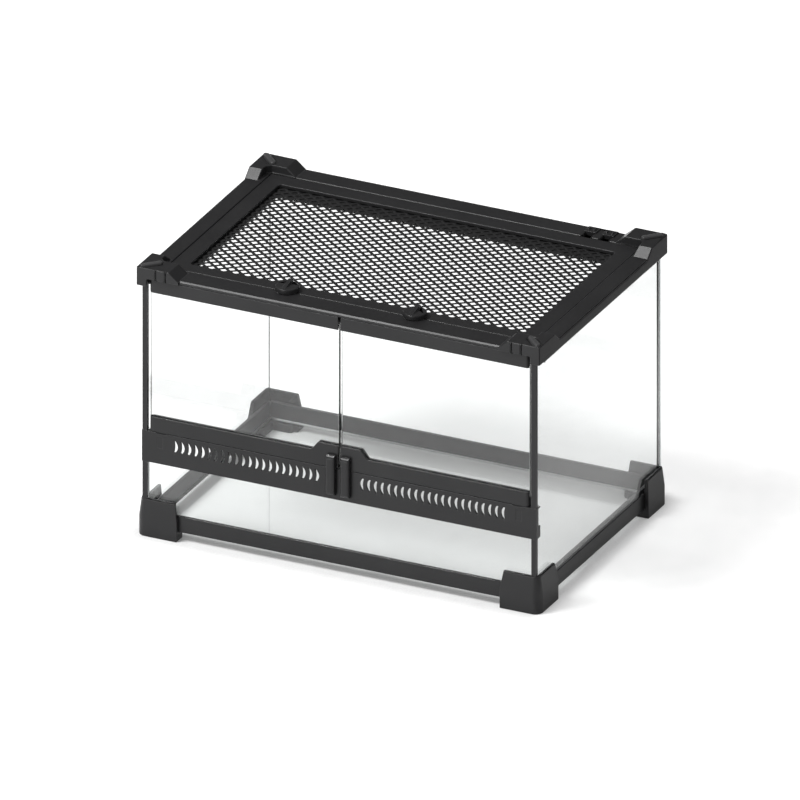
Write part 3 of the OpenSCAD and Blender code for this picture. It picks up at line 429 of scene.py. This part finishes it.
def meshPiece(name, points, faces, finish):
    mesh = bpy.data.meshes.new(name)
    mesh.from_pydata(points, [], faces)
    mesh.validate()
    mesh.shade_smooth()
    mesh.materials.append(finishes[finish])
    return addPiece(name, mesh)


def clipLine(point, direction, low, high):
    # how far along a line it enters and leaves the rectangle
    enter, leave = -math.inf, math.inf
    for axis in range(2):
        ends = sorted((edge[axis] - point[axis]) / direction[axis] for edge in (low, high))
        enter, leave = max(enter, ends[0]), min(leave, ends[1])
    return enter, leave


def makeNet(values):
    low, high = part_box("lid_mesh")
    inset = values["inset"] * mm
    clipLow = (low.x + inset, low.y + inset)
    clipHigh = (high.x - inset, high.y - inset)
    centre = Vector(((low.x + high.x) / 2, (low.y + high.y) / 2))
    halfX, halfY = (v * mm for v in values["halfStep"])
    span = Vector((halfX, halfY)).length
    gap = 2 * halfX * halfY / span
    count = int(values["spread"] * mm / gap)
    wide, tall = values["strand"] * mm / 2, values["layer"] * mm / 2
    sides, fatten = values["sides"], values["fatten"]
    angles = [math.radians(360 / sides * (k + 0.5)) for k in range(sides)]
    ring = [(math.cos(a) * wide * fatten, math.sin(a) * tall * fatten) for a in angles]
    points, faces = [], []
    for side in (1, -1):
        along = Vector((halfX, side * halfY)) / span
        across = Vector((-along.y, along.x))
        level = high.z - tall if side > 0 else low.z + tall
        for k in range(-count, count + 1):
            start = centre + across * gap * (k + 0.5)
            enter, leave = clipLine(start, along, clipLow, clipHigh)
            if leave - enter < values["shortest"] * mm:
                continue
            first = len(points)
            for t in (enter, leave):
                foot = start + along * t
                for sideways, up in ring:
                    spot = foot + across * sideways
                    points.append((spot.x, spot.y, level + up))
            near = [first + j for j in range(sides)]
            far = [first + sides + j for j in range(sides)]
            for j in range(sides):
                n = (j + 1) % sides
                faces.append((near[j], near[n], far[n], far[j]))
            faces.append(tuple(reversed(near)))
            faces.append(tuple(far))
    piece = meshPiece("lid_net", points, faces, "mesh")
    normals = piece.modifiers.new("normals", "WEIGHTED_NORMAL")
    normals.keep_sharp = False
    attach(piece, "lid")
    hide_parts("lid_mesh")


makeNet(net)


print("laying the bars on the corner blocks")

# millimetres from the block's outer corner and down from its top; scales are the sizes of
# the rings that close the dome, and power sets how square its shoulder is
rib = {"reach": (4.4, 16.8), "wide": 4.0, "tall": 2.8, "dome": 1.1, "power": 2.4, "around": 12,
       "scales": (0.985, 0.93, 0.84, 0.7, 0.5, 0.28, 0.05)}


def makeRib(block, values):
    # the rounded bar across the recess of a corner block
    low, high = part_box(block)
    sides = [1 if low.x + high.x > 0 else -1, 1 if low.y + high.y > 0 else -1]
    corner = Vector((high.x if sides[0] > 0 else low.x, high.y if sides[1] > 0 else low.y))
    inward = Vector((-sides[0], -sides[1])).normalized()
    across = Vector((-inward.y, inward.x))
    half, power, around = values["wide"] * mm / 2, values["power"], values["around"]
    ends = [corner + inward * (v * mm) for v in values["reach"]]
    rings = [(1.0, values["tall"])]
    rings += [(k, values["dome"] * (1 - (1 - k ** power) ** (1 / power))) for k in values["scales"]]
    points, faces = [], []
    for scale, drop in rings:
        for end, turn in zip(ends, (math.pi / 2, -math.pi / 2)):
            for j in range(around + 1):
                angle = turn + math.pi * j / around
                offset = inward * math.cos(angle) + across * math.sin(angle)
                spot = end + offset * half * scale
                points.append((spot.x, spot.y, high.z - drop * mm))
    count = 2 * (around + 1)
    for r in range(len(rings) - 1):
        for j in range(count):
            n = (j + 1) % count
            faces.append((r * count + j, r * count + n, (r + 1) * count + n, (r + 1) * count + j))
    faces.append(tuple((len(rings) - 1) * count + j for j in range(count)))
    # the bar takes the lighter copy of the plastic, a painted highlight
    piece = meshPiece("rib_" + block, points, faces, "lit_bar_plastic")
    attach(piece, "frame")


for name in nodes:
    if name.startswith("block_"):
        makeRib(name, rib)


print("setting the floor, the lights and the camera")

# metres; the glow is painted light in the floor, lower near the rails, and dim is how much less
# of the floor its reflections show, a painted shade
ground = {"colour": (0.8, 0.8, 0.8, 1), "size": 6.0, "roughness": 0.9, "shine": 0.1,
          "mottle": 0.1, "mottleRange": (0.5, 1.0), "speckScale": 700.0,
          "cloudScale": 60.0, "cloudShare": 0.5,
          "glowNear": 0.1, "glowOut": 0.62, "glowIn": 0.26, "fadeOut": 0.022, "fadeIn": 0.014,
          "outline": (0.144, 0.098), "outlineShift": (0.004, 0.0), "inside": (0.1405, 0.0905),
          "dimFar": (0.2, 0.31), "dimBehind": 0.85,
          "dimNear": (0.16, 0.2), "dimBeside": 0.45, "besideFrom": 0.15}
studio = {"keyFrom": (-0.39, -0.35, 0.85), "keyDistance": 3.0, "keySize": 1.05, "keyPower": 75.0,
          "frontSpot": (-0.7, -2.4, 0.5), "frontSize": 1.2, "frontPower": 14.0,
          "roomLight": 0.5, "roomShine": 0.08, "horizon": 0.12}
# pixel is where the object's middle lies in an image of 800 by 800
shot = {"azimuth": 25.5, "elevation": 25.1, "width": 0.537, "image": 800,
        "pixel": (402.0, 383.4), "distance": 2.0, "clip": (0.01, 20)}
middle = Vector((0, 0, 0.1))


def distanceBeyond(tree, coords, half):
    beyond = vectorMaths(tree, "SUBTRACT", vectorMaths(tree, "ABSOLUTE", coords), (*half, 0.0))
    beyond = vectorMaths(tree, "MAXIMUM", beyond, (0.0, 0.0, 0.0))
    return vectorMaths(tree, "LENGTH", beyond, output="Value")


def distanceWithin(tree, coords, half):
    within = vectorMaths(tree, "SUBTRACT", (*half, 0.0), vectorMaths(tree, "ABSOLUTE", coords))
    parts = splitVector(tree, within)
    return maths(tree, "MINIMUM", parts["X"], parts["Y"])


def groundColour(tree, coords, path, values):
    speck = noise(tree, coords, values["speckScale"], 3.0)
    cloud = noise(tree, coords, values["cloudScale"], 2.0)
    mottled = maths(tree, "MULTIPLY_ADD", cloud, values["cloudShare"], speck)
    dim = tuple(c * (1 - values["mottle"]) for c in values["colour"][:3]) + (1,)
    shade = remap(tree, mottled, *values["mottleRange"])
    colour = blendColour(tree, shade, values["colour"], dim)
    # painted shade: reflections see the ground at the right partly black, as in a room lit from the
    # front left
    x = splitVector(tree, coords)["X"]
    far = remap(tree, x, *values["dimFar"], 0.0, values["dimBehind"], smooth=True)
    near = remap(tree, x, *values["dimNear"], values["dimBeside"], 0.0, smooth=True)
    beside = maths(tree, "MULTIPLY", near, maths(tree, "GREATER_THAN", x, values["besideFrom"]))
    reflected = maths(tree, "SUBTRACT", path["Is Glossy Ray"], path["Is Transmission Ray"],
                      clamp=True)   # a ray that has gone through glass counts as both
    paintedReflectionShade = maths(tree, "MULTIPLY", maths(tree, "ADD", far, beside), reflected)
    return blendColour(tree, paintedReflectionShade, colour, (0.0, 0.0, 0.0, 1))


def groundGlow(tree, coords, path, values):
    # painted light: the floor glows brighter away from the rails, outside and inside, so that only
    # near them does their contact shadow show
    least = values["glowNear"]
    moved = vectorMaths(tree, "ADD", coords, (*values["outlineShift"], 0.0))
    away = distanceBeyond(tree, moved, values["outline"])
    outside = remap(tree, away, 0.0, values["fadeOut"], 0.0, values["glowOut"] - least, smooth=True)
    within = distanceWithin(tree, coords, values["inside"])
    inside = remap(tree, within, 0.0, values["fadeIn"], 0.0, values["glowIn"] - least, smooth=True)
    glow = maths(tree, "ADD", maths(tree, "ADD", outside, inside), least)
    seen = maths(tree, "MAXIMUM", path["Is Camera Ray"], path["Is Glossy Ray"])
    seen = maths(tree, "MAXIMUM", seen, path["Is Transmission Ray"])
    return maths(tree, "MULTIPLY", glow, seen)


def makeGround(values):
    half = values["size"] / 2
    mesh = bpy.data.meshes.new("ground")
    mesh.from_pydata([(-half, -half, 0), (half, -half, 0), (half, half, 0), (-half, half, 0)],
                     [], [(0, 1, 2, 3)])
    material, tree, shader = startMaterial("pale_ground")
    coords = objectCoords(tree)
    path = place(tree, "ShaderNodeLightPath").outputs
    colour = groundColour(tree, coords, path, values)
    setInputs(tree, shader, {
        "Base Color": colour,
        "Roughness": values["roughness"],
        "Specular IOR Level": values["shine"],
        "Emission Color": colour,
        "Emission Strength": groundGlow(tree, coords, path, values)})
    mesh.materials.append(material)
    piece = addPiece("ground", mesh)


def makeLamp(name, spot, size, power):
    light = bpy.data.lights.new(name, "AREA")
    light.shape = "SQUARE"
    light.size = size
    light.energy = power
    lamp = addPiece(name, light)
    lamp.location = spot
    lamp.rotation_euler = (middle - Vector(spot)).to_track_quat("-Z", "Y").to_euler()


def makeRoom(values):
    world = bpy.data.worlds.new("room")
    bpy.context.scene.world = world
    world.use_nodes = True
    tree = world.node_tree
    tree.nodes.clear()
    height = splitVector(tree, place(tree, "ShaderNodeTexCoord").outputs["Generated"])["Z"]
    shine = remap(tree, height, 0.0, values["horizon"], 1.0, values["roomShine"], smooth=True)
    path = place(tree, "ShaderNodeLightPath").outputs
    seen = maths(tree, "MAXIMUM", path["Is Camera Ray"], path["Is Transmission Ray"])
    strength = blendValue(tree, path["Is Glossy Ray"], values["roomLight"], shine)
    strength = blendValue(tree, seen, strength, 1.0)
    back = place(tree, "ShaderNodeBackground", {"Color": (1, 1, 1, 1), "Strength": strength})
    place(tree, "ShaderNodeOutputWorld", {"Surface": back.outputs[0]})


def makeCamera(values):
    a, e = math.radians(values["azimuth"]), math.radians(values["elevation"])
    back = Vector((math.sin(a) * math.cos(e), -math.cos(a) * math.cos(e), math.sin(e)))
    right = Vector((math.cos(a), math.sin(a), 0))
    up = back.cross(right)
    perPixel, centre = values["width"] / values["image"], values["image"] / 2
    offX, offY = values["pixel"][0] - centre, centre - values["pixel"][1]
    target = middle - right * offX * perPixel - up * offY * perPixel
    data = bpy.data.cameras.new("camera")
    data.type = "ORTHO"
    data.ortho_scale = values["width"]
    data.clip_start, data.clip_end = values["clip"]
    camera = addPiece("camera", data)
    camera.location = target + back * values["distance"]
    camera.rotation_euler = (-back).to_track_quat("-Z", "Y").to_euler()
    bpy.context.scene.camera = camera


makeGround(ground)
keyWay = Vector(studio["keyFrom"]).normalized()
makeLamp("key", middle + keyWay * studio["keyDistance"], studio["keySize"], studio["keyPower"])
makeLamp("front", studio["frontSpot"], studio["frontSize"], studio["frontPower"])
makeRoom(studio)
makeCamera(shot)
bpy.context.scene.view_settings.view_transform = "Standard"

bpy.context.view_layer.update()
print("finishing")
